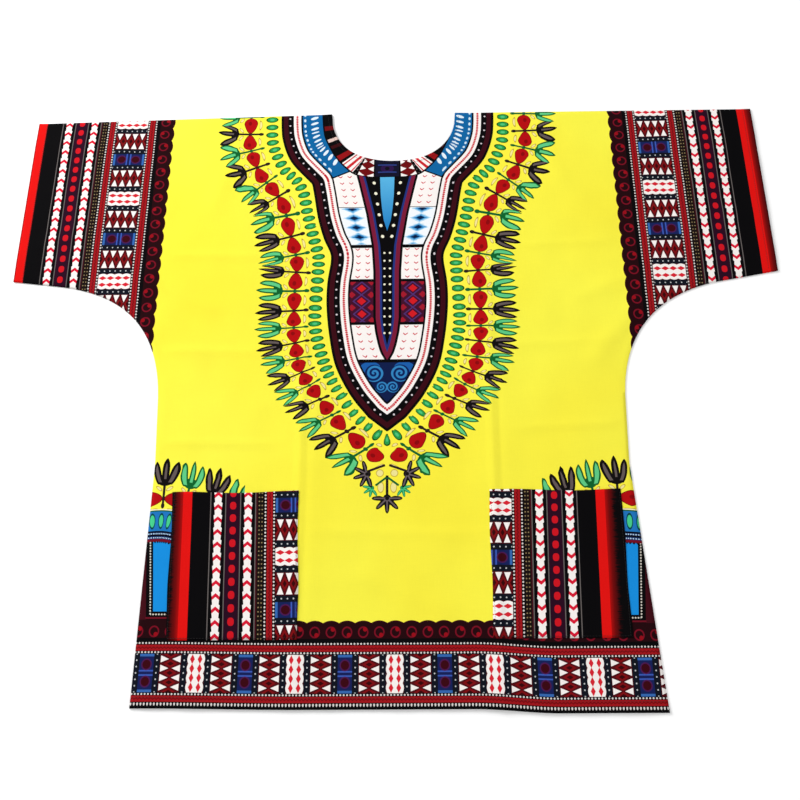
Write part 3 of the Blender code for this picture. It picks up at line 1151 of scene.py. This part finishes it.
def draw_fruits(fold, out, loose, colour):
    """Red fruits, round outside and drawn to a point on the dark stem."""
    past = (fold - 15.5) * (loose * 0.16 + 1)
    taper = 1 - past.least(0.0) * 0.05
    fruit = (past / ((past < 0) * 5.2 + 9.3)).squared() + (out / 10.0).squared() * taper
    spot = disc(past - 1.0, out - 1.5, 3.2, 2.6)
    return lay(colour, (fruit < 1, (108, 10, 12)), (fruit < 0.84, (180, 14, 18)), (spot, (140, 8, 14)))


def turned(aside, up, foot, way):
    """Coordinates across and along a direction, from its foot."""
    across = (aside - foot[0]) * -way[1] + (up - foot[1]) * way[0]
    along = (aside - foot[0]) * way[0] + (up - foot[1]) * way[1]
    return across, along


def bloom(across, along, size, edge, core):
    """A small flower of five lobes, 45 degrees apart: a radius that follows the cosine of 4 angles."""
    away = ellipse(across, along, size, size).root()
    turn = across.turn_from(along)
    lobes = (abs(turn) < 1.9) * ((turn * 4).cosine().squared() * 10 + 4) + 5
    vein = away * abs((turn * 4).sine()) * 0.25 < 0.9
    return (away < lobes, edge), (vein & (away < lobes - 2.4) & (away > 2.5), core)


def draw_finial(aside, up, colour):
    """The spray below the garland's middle: a dark flower that hangs, and two pairs beside it."""
    leaf = ellipse(aside - 8, up - 259, 4.2, 7.5).least(ellipse(aside - 9, up - 277, 5.0, 5.0))
    across, along = turned(aside, up, (3.5, 287), (0.94, -0.34))
    dark_stem = (abs(aside) < 1.7) & up.within(245, 274) | (abs(across) < 1.5) & along.within(-1, 22)
    across, along = turned(aside, up, (0, 272), (0.8, -0.6))
    green_stem = (abs(across) < 1.3) & along.within(1, 18)
    return lay(
        colour,
        (leaf < 1, (205, 180, 70)),
        (leaf < 0.6, (242, 230, 150)),
        (dark_stem, SOOT),
        (green_stem, STEM_GREEN),
        *bloom(*turned(aside, up, (19, 258), (0.84, -0.54)), 0.62, *MINT_BLOOM),
        *bloom(*turned(aside, up, (25, 276), (0.95, -0.3)), 0.95, *ASH_BLOOM),
        *bloom(aside, 245 - up, 1.0, *ASH_BLOOM),
        inside=(aside < 60) & (up < 300),
    )


# Where each row under a corner garland starts, in millimetres outside the garland's curve.
COLUMN_TOP = -54
CORNER_ROWS = (
    (-70, BLACK), (COLUMN_TOP, (116, 16, 34)), (-51, (20, 44, 100)), (-47.5, BLACK),
    (-45.5, (20, 44, 100)), (-43, BLACK), (-41, (34, 118, 190)), (-16.5, (16, 92, 44)), (-15, CREAM),
)
DOT_PITCH = 3.4


def draw_corner(run, out, wide, up, colour):
    """Under the corner garland: an arch of blue with green ovals, dotted lines, and a blue column."""
    corner = (wide > 188) & (up < CORNER_TOP) & (out < -13.4)
    oval = ellipse(run.every(BEAD_PITCH), out + 28.5, 4.3, 10.2)
    row = abs(out + 44.2).least(abs(out + 49.2))
    teeth = abs(run.every(5.0)) * 0.9 - COLUMN_TOP
    outer = wide - 286.5 - (up - 112) * 0.09
    column = (out + teeth < 0) & (wide > 262) & (outer < 0) & (up > 108)
    side_dots = disc(outer - 3.4, up.every(DOT_PITCH), 0.95, 1.1) & (up > 104)
    foot_dots = disc(wide.every(DOT_PITCH), up - 104.6, 1.1, 0.95) & (outer < 3)
    colour = lay(
        over(colour, corner, stripes(out, -70, -13, *CORNER_ROWS)),
        (oval < 1, (10, 70, 72)),
        (oval < 0.55, (70, 204, 140)),
        (disc(run.every(DOT_PITCH), row, 1.0, 0.8), (190, 220, 240)),
        inside=corner,
    )
    return lay(
        colour,
        (column, BRIGHT_BLUE),
        (outer > 8.5, MAROON),
        ((abs(up - 100.5) < 1.0) & (outer < 9), (110, 18, 34)),
        (side_dots | foot_dots, (214, 208, 196)),
        inside=corner & (out < COLUMN_TOP),
    )


def draw_garland(start):
    """The whole garland: beads, leaves, stems, tulips and fruits, its spray and its two corners."""
    run, out, beads_run = start.carried("garland")
    aside, up, beads_out = start.carried("places")
    wide, side, tight = start.carried("sides")
    corner = (wide > CORNER_WIDE) & (up < CORNER_TOP)
    loose = (1 - side) * (1 - corner)
    fold = run.mirrored(STEM_PITCH)
    leaning = run - loose * out * LEAN_SLOPE
    dark = leaning.mirrored(STEM_PITCH) < STEM_PITCH / 2
    light = 1 - dark
    dark = dark & ((abs(leaning) > STEM_PITCH / 2) | corner)
    which = (leaning / STEM_PITCH + 0.5).floor()
    lean = start.node("ShaderNodeTexWhiteNoise", {"noise_dimensions": "1D"}, {"W": which}) - 0.5
    beside = leaning.every(STEM_PITCH) * (loose * 0.15 + 1)
    beside = beside + lean * (out - TULIP_BASE).most(0.0).squared() * 0.006
    colour = draw_beads(beads_run, beads_out + corner * FAR_AWAY, side, yellow_ground(start))
    colour = draw_leaves(fold, beside, out, colour)
    colour = draw_stems(beside, out, side, dark, light, colour)
    colour = draw_tulips(beside, out, tight, dark, light, colour)
    colour = draw_fruits(fold, out, loose, colour)
    colour = draw_finial(aside, up, colour)
    return draw_corner(run, out, wide, up, colour)


PRINTS = {"field": yellow_ground, "border": draw_border, "chest": draw_chest, "garland": draw_garland}
prints = {name: cotton(name + "_cotton", draw) for name, draw in PRINTS.items()}

# %% Print laid on the panels
for panel in (front, back):
    counts = paint_zones(panel, sheet_x, sheet_y, sheet_faces, prints.values())
    give_wall(panel)
    print(panel.name, "faces in", ", ".join(prints), "are", counts.tolist())

# %% [markdown]
# ## The pockets
# Each pocket is a square of the sleeve border's cloth, so its stripes run upright. It is sewn down
# on three sides, where it lies closer to the front, and its top is hemmed and left open. It is
# worked out on the same formula as the front below it, so that it lies on the same folds.

# %% Pocket sizes and shape
POCKET_STEP = 0.0036
POCKET_LIFT = 0.00092
POCKET_EDGE_LIFT = 0.00062
POCKET_HEM = 0.018
POCKET_SEWN_REACH = 0.004
POCKET_BELLY = 0.0003
POCKET_HEM_LIFT = 0.00016
SIDE_WAVER = 0.0007
TOP_WAVER = 0.0011
STRIPE_FOOT = 254
STRIPE_RUN = 177
# In millimetres: the height of one blue block's middle, the blocks' period, the arrows' way, where
# the stripes start, how far they and the left and right sides lean over the pocket's height, and
# how far the left side is tucked in.
POCKETS = {
    "pocket_left": {
        "block": 237, "period": 126, "way": 1.0, "scallop": 62.6, "lean": 6.8,
        "sides": (6.0, 5.0), "tuck": 6.5,
    },
    "pocket_right": {
        "block": 171, "period": 124, "way": -1.0, "scallop": 60.0, "lean": 6.0,
        "sides": (-1.4, -2.5), "tuck": 0.0,
    },
}


def pocket_place(node, u, v):
    """x at a part u of the pocket's width and v of its height: each side leans about its middle."""
    low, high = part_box(node)
    left, right = POCKETS[node]["sides"]
    shift = POCKETS[node]["tuck"] * (1 - u) + (left + (right - left) * u) * (0.5 - v)
    return low.x + (high.x - low.x) * u + 0.001 * shift


def pocket_points(node):
    """A grid over the pocket's box: its sides waver a little, and it is lowest where it is sewn."""
    low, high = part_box(node)
    wide, tall = high.x - low.x, high.y - low.y
    u = np.linspace(0, 1, int(wide / POCKET_STEP) + 1)
    v = np.linspace(0, 1, int(tall / POCKET_STEP) + 1)[:, None]
    x = pocket_place(node, u, v) + SIDE_WAVER * np.sin(v * 9 + low.x * 40) * (1 - 2 * u)
    y = low.y - HEM_LINE + tall * v - TOP_WAVER * np.sin(u * 7 + low.x * 30) * v
    inset = np.minimum(np.minimum(x - x[:, :1], x[:, -1:] - x), y - y[:1])
    sewn = smooth(inset / POCKET_SEWN_REACH)
    lift = POCKET_EDGE_LIFT + (POCKET_LIFT - POCKET_EDGE_LIFT) * sewn
    top_hem = smooth((v - 1 + POCKET_HEM / tall) * 60) * POCKET_HEM_LIFT
    belly = POCKET_BELLY * np.sin(np.pi * u) * np.sin(np.pi * v * 0.8) * sewn
    return x, y, front_height(x, y - hem_sag(x, y)) + lift + top_hem + belly


def make_pocket(node):
    """A pocket's cloth with the border's print on it."""
    grid = pocket_points(node)
    index = np.arange(grid[0].size).reshape(grid[0].shape)
    x, y, z = (part.ravel() for part in grid)
    points = np.column_stack([x, y + HEM_LINE, z])
    piece = make_mesh(node.replace("pocket", "patch_pocket"), points, quads(index))
    pocket = POCKETS[node]
    across = np.abs(1000 * x) - pocket["scallop"] + pocket["lean"] * (STRIPE_FOOT - 1000 * y) / STRIPE_RUN
    along = (1000 * y - pocket["block"]) * STANDARD_PERIOD / pocket["period"]
    carry_print(piece, {"border": np.column_stack([across, along, np.full_like(along, pocket["way"])])})
    piece.data.materials.append(prints["border"])
    give_wall(piece)
    return piece


pockets = {node: make_pocket(node) for node in POCKETS}
print("pockets:", ", ".join(piece.name for piece in pockets.values()))

# %% [markdown]
# ## Stitches
# A machine stitch is a short length of thread that lies on the cloth and dives in at both ends.
# One small tapered tube is worked out once and repeated along every seam line as one array, which
# makes a few hundred stitches a single light mesh. Each lies on the height of the cloth below it.

# %% Threads
STITCH = 0.0028
STITCH_PITCH = 0.0034
THREAD = 0.00019
STITCH_RINGS = 5
STITCH_SIDES = 6


def places_along(path):
    """Evenly spaced places and directions along a path of points, one for each stitch."""
    run = lengths_along(path)
    at = np.arange(STITCH_PITCH / 2, run[-1], STITCH_PITCH)
    place, ahead = (np.column_stack([np.interp(s, run, side) for side in path.T]) for s in (at, at + 1e-5))
    way = ahead - place
    return place, way / np.hypot(*way.T)[:, None]


def stitch_rows(name, paths, height, material, sag=0.0):
    """Tapered tubes along every path: a circle carried along each stitch, thin and sunk at its ends."""
    along = np.linspace(-0.5, 0.5, STITCH_RINGS)
    thick = THREAD * np.sqrt(np.clip(1 - (1.85 * along) ** 2, 0.08, 1))
    turn = np.linspace(0, 2 * np.pi, STITCH_SIDES, endpoint=False)
    places, ways = (np.vstack(parts) for parts in zip(*[places_along(path) for path in paths]))
    centre = places[:, None, :] + ways[:, None, :] * (along * STITCH)[None, :, None]
    sideways = thick[None, :, None] * np.cos(turn)
    x = centre[..., 0][..., None] - ways[:, None, None, 1] * sideways
    y = centre[..., 1][..., None] + ways[:, None, None, 0] * sideways
    top = height(centre[..., 0], centre[..., 1]) + 0.5 * WALL
    rise = THREAD * (0.9 - 3.6 * along**2)
    z = (top + rise)[..., None] + thick[None, :, None] * np.sin(turn)
    points = np.stack([x, y + sag * hem_sag(x, y) + HEM_LINE, z], axis=-1).reshape(-1, 3)
    ring = np.arange(STITCH_SIDES)
    after = np.roll(ring, -1)
    band = np.stack([ring, after, after + STITCH_SIDES, ring + STITCH_SIDES], axis=-1)
    rings = (np.arange(STITCH_RINGS - 1) * STITCH_SIDES)[:, None, None]
    starts = (np.arange(len(places)) * STITCH_RINGS * STITCH_SIDES)[:, None, None, None]
    faces = (band + rings + starts).reshape(-1, 4)
    piece = make_mesh(name, points, faces[:, ::-1])
    piece.data.materials.append(material)
    print(name, "has", len(places), "stitches")
    return piece


def thread(name, colour):
    """Polyester thread: a little glossier than the cloth, with the twist of its two strands as a bump and
    as painted shade and highlight.
    """
    material, start = new_material(name)
    values = {"Vector": start.place(), "Scale": 900.0, "Distortion": 1.5}
    twist = start.node("ShaderNodeTexWave", {"bands_direction": "DIAGONAL"}, values, output="Fac")
    # The twist also scales the colour from 0.8 to 1.15: painted shade in the grooves, painted highlight on
    # the strands.
    surface(start, linear(colour), twist * 0.35 + 0.8, 0.5, 0.3, (0.4, 0.0001, twist))
    return material


# %% Seam lines
HEM_SEAM = HEM_DEPTH - 0.002
NECK_SEAM = 0.005
POCKET_SEAM = 0.0022
POCKET_TOP_SEAM = POCKET_HEM - 0.003
SEAM_END = 0.002


def line(*points, steps=40):
    """Straight runs through the points, with enough places on each for the cloth's height."""
    pairs = [np.linspace(a, b, steps, endpoint=False) for a, b in zip(points, points[1:])]
    return np.vstack(pairs + [[points[-1]]])


def neck_seam():
    """The neck's superellipse, moved down into the cloth and cut off at the shoulders."""
    angle = np.linspace(-1, 1, 80) * 0.5 * np.pi
    power = 2 / NECK_ROUNDNESS
    x = (NECK_HALF + NECK_SEAM) * np.sign(angle) * np.abs(np.sin(angle)) ** power
    y = LENGTH - (NECK_DEPTH + NECK_SEAM) * np.cos(angle).clip(0) ** power
    return np.column_stack([x, y])[y < LENGTH - 0.004]


def cuff_seam(half):
    """Down the sleeve's end, from just below the shoulder to just above the underarm seam."""
    x, shoulder = half["sign"] * (HALF_SPAN - HEM_SEAM), LENGTH - half["fall"]
    return line((x, shoulder - 0.003), (x, shoulder - half["opening"] + SEAM_END))


def pocket_seams(node):
    """Down one side, along the foot and up the other side, and a second row below the top hem."""
    low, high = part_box(node)
    tall = high.y - low.y

    def spot(u, v):
        return float(pocket_place(node, u, v)), low.y - HEM_LINE + tall * v

    side, foot, top = POCKET_SEAM / (high.x - low.x), POCKET_SEAM / tall, 1 - POCKET_TOP_SEAM / tall
    around = [spot(u, v) for u, v in ((side, 0.994), (side, foot), (1 - side, foot), (1 - side, 0.994))]
    return line(*around), line(spot(0.02, top), spot(0.98, top))


def pocket_height(x, y):
    """Height of the pocket's cloth beside its seams."""
    return front_height(x, y - hem_sag(x, y)) + POCKET_EDGE_LIFT + 0.00015


black_thread = thread("black_thread", (22, 20, 22))
hem_ends = -side_edge(LEFT, HEM_SEAM) + SEAM_END, side_edge(RIGHT, HEM_SEAM) - SEAM_END
hem_seam = line(*[(x, HEM_SEAM) for x in hem_ends], steps=200)
front_seams = [hem_seam, neck_seam(), cuff_seam(LEFT), cuff_seam(RIGHT)]
front_stitches = stitch_rows("front_stitches", front_seams, front_height, black_thread, sag=1.0)
seams = [seam for node in pockets for seam in pocket_seams(node)]
pocket_stitches = stitch_rows("pocket_stitches", seams, pocket_height, black_thread)

# %% [markdown]
# ## Floor, light and camera
# The shirt is shown as a cut-out on white, looked down on at 70 degrees. A pale floor, an even
# pale sky and one wide soft lamp from the upper left give that, with just enough shade along the
# edges and creases to show that the cloth lies on something.

# %% Floor
FLOOR_HALF = 4.0


def make_floor():
    """One pale square just under the cloth."""
    corners = FLOOR_HALF * np.array([(-1, -1, 0), (1, -1, 0), (1, 1, 0), (-1, 1, 0)])
    floor = make_mesh("floor", corners, np.array([[0, 1, 2, 3]]))
    material = bpy.data.materials.new("pale_floor")
    material.use_nodes = True
    shader = material.node_tree.nodes["Principled BSDF"]
    shader.inputs["Base Color"].default_value = (0.93, 0.93, 0.93, 1.0)
    shader.inputs["Roughness"].default_value = 0.9
    shader.inputs["Specular IOR Level"].default_value = 0.1
    floor.data.materials.append(material)
    return floor


floor = make_floor()

# %% Light
world = bpy.data.worlds.new("studio")
world.use_nodes = True
sky = world.node_tree.nodes["Background"].inputs
sky["Color"].default_value = (1.0, 1.0, 1.0, 1.0)
sky["Strength"].default_value = 0.58
bpy.context.scene.world = world


def lamp(name, place, size, power):
    """A square area lamp that faces the middle of the shirt."""
    light = bpy.data.lights.new(name, "AREA")
    light.size = size
    light.energy = power
    made = bpy.data.objects.new(name, light)
    facing = Vector(place).to_track_quat("Z", "Y").to_matrix().to_4x4()
    made.matrix_world = Matrix.Translation(place) @ facing
    bpy.context.scene.collection.objects.link(made)
    return made


lamp("softbox", (-2.0, 1.5, 1.3), 1.3, 84.0)
lamp("fill", (1.8, -1.2, 2.2), 2.0, 26.0)

# %% Camera
ELEVATION = np.radians(70.0)
AZIMUTH = np.radians(-2.02)
ROLL = np.radians(-2.43)
CAMERA_PLACE = Vector((0.02087, -0.41332, 1.04770))
LENS = 39.0


def make_camera():
    """A camera that looks down at the shirt from in front of its hem, turned a little about its axis."""
    level_part = np.cos(ELEVATION)
    forward = Vector((np.sin(AZIMUTH) * level_part, np.cos(AZIMUTH) * level_part, -np.sin(ELEVATION)))
    level = Vector((np.cos(AZIMUTH), -np.sin(AZIMUTH), 0.0))
    upright = level.cross(forward)
    right = np.cos(ROLL) * level + np.sin(ROLL) * upright
    up = -np.sin(ROLL) * level + np.cos(ROLL) * upright
    camera = bpy.data.objects.new("camera", bpy.data.cameras.new("camera"))
    camera.data.lens = LENS
    camera.data.sensor_width = 36.0
    facing = Matrix((right, up, -forward)).transposed()
    camera.matrix_world = Matrix.Translation(CAMERA_PLACE) @ facing.to_4x4()
    bpy.context.scene.collection.objects.link(camera)
    return camera


bpy.context.scene.camera = make_camera()
bpy.context.scene.view_settings.view_transform = "Standard"

# %% [markdown]
# ## What stands for what
# Every new piece rides on the imported model's one body and hides the plain solid that it stands
# for.


for node, piece in pockets.items():
    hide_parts(node)
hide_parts("front")
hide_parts("back")
for piece in (front, back, front_stitches, pocket_stitches, *pockets.values()):
    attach(piece, "root")
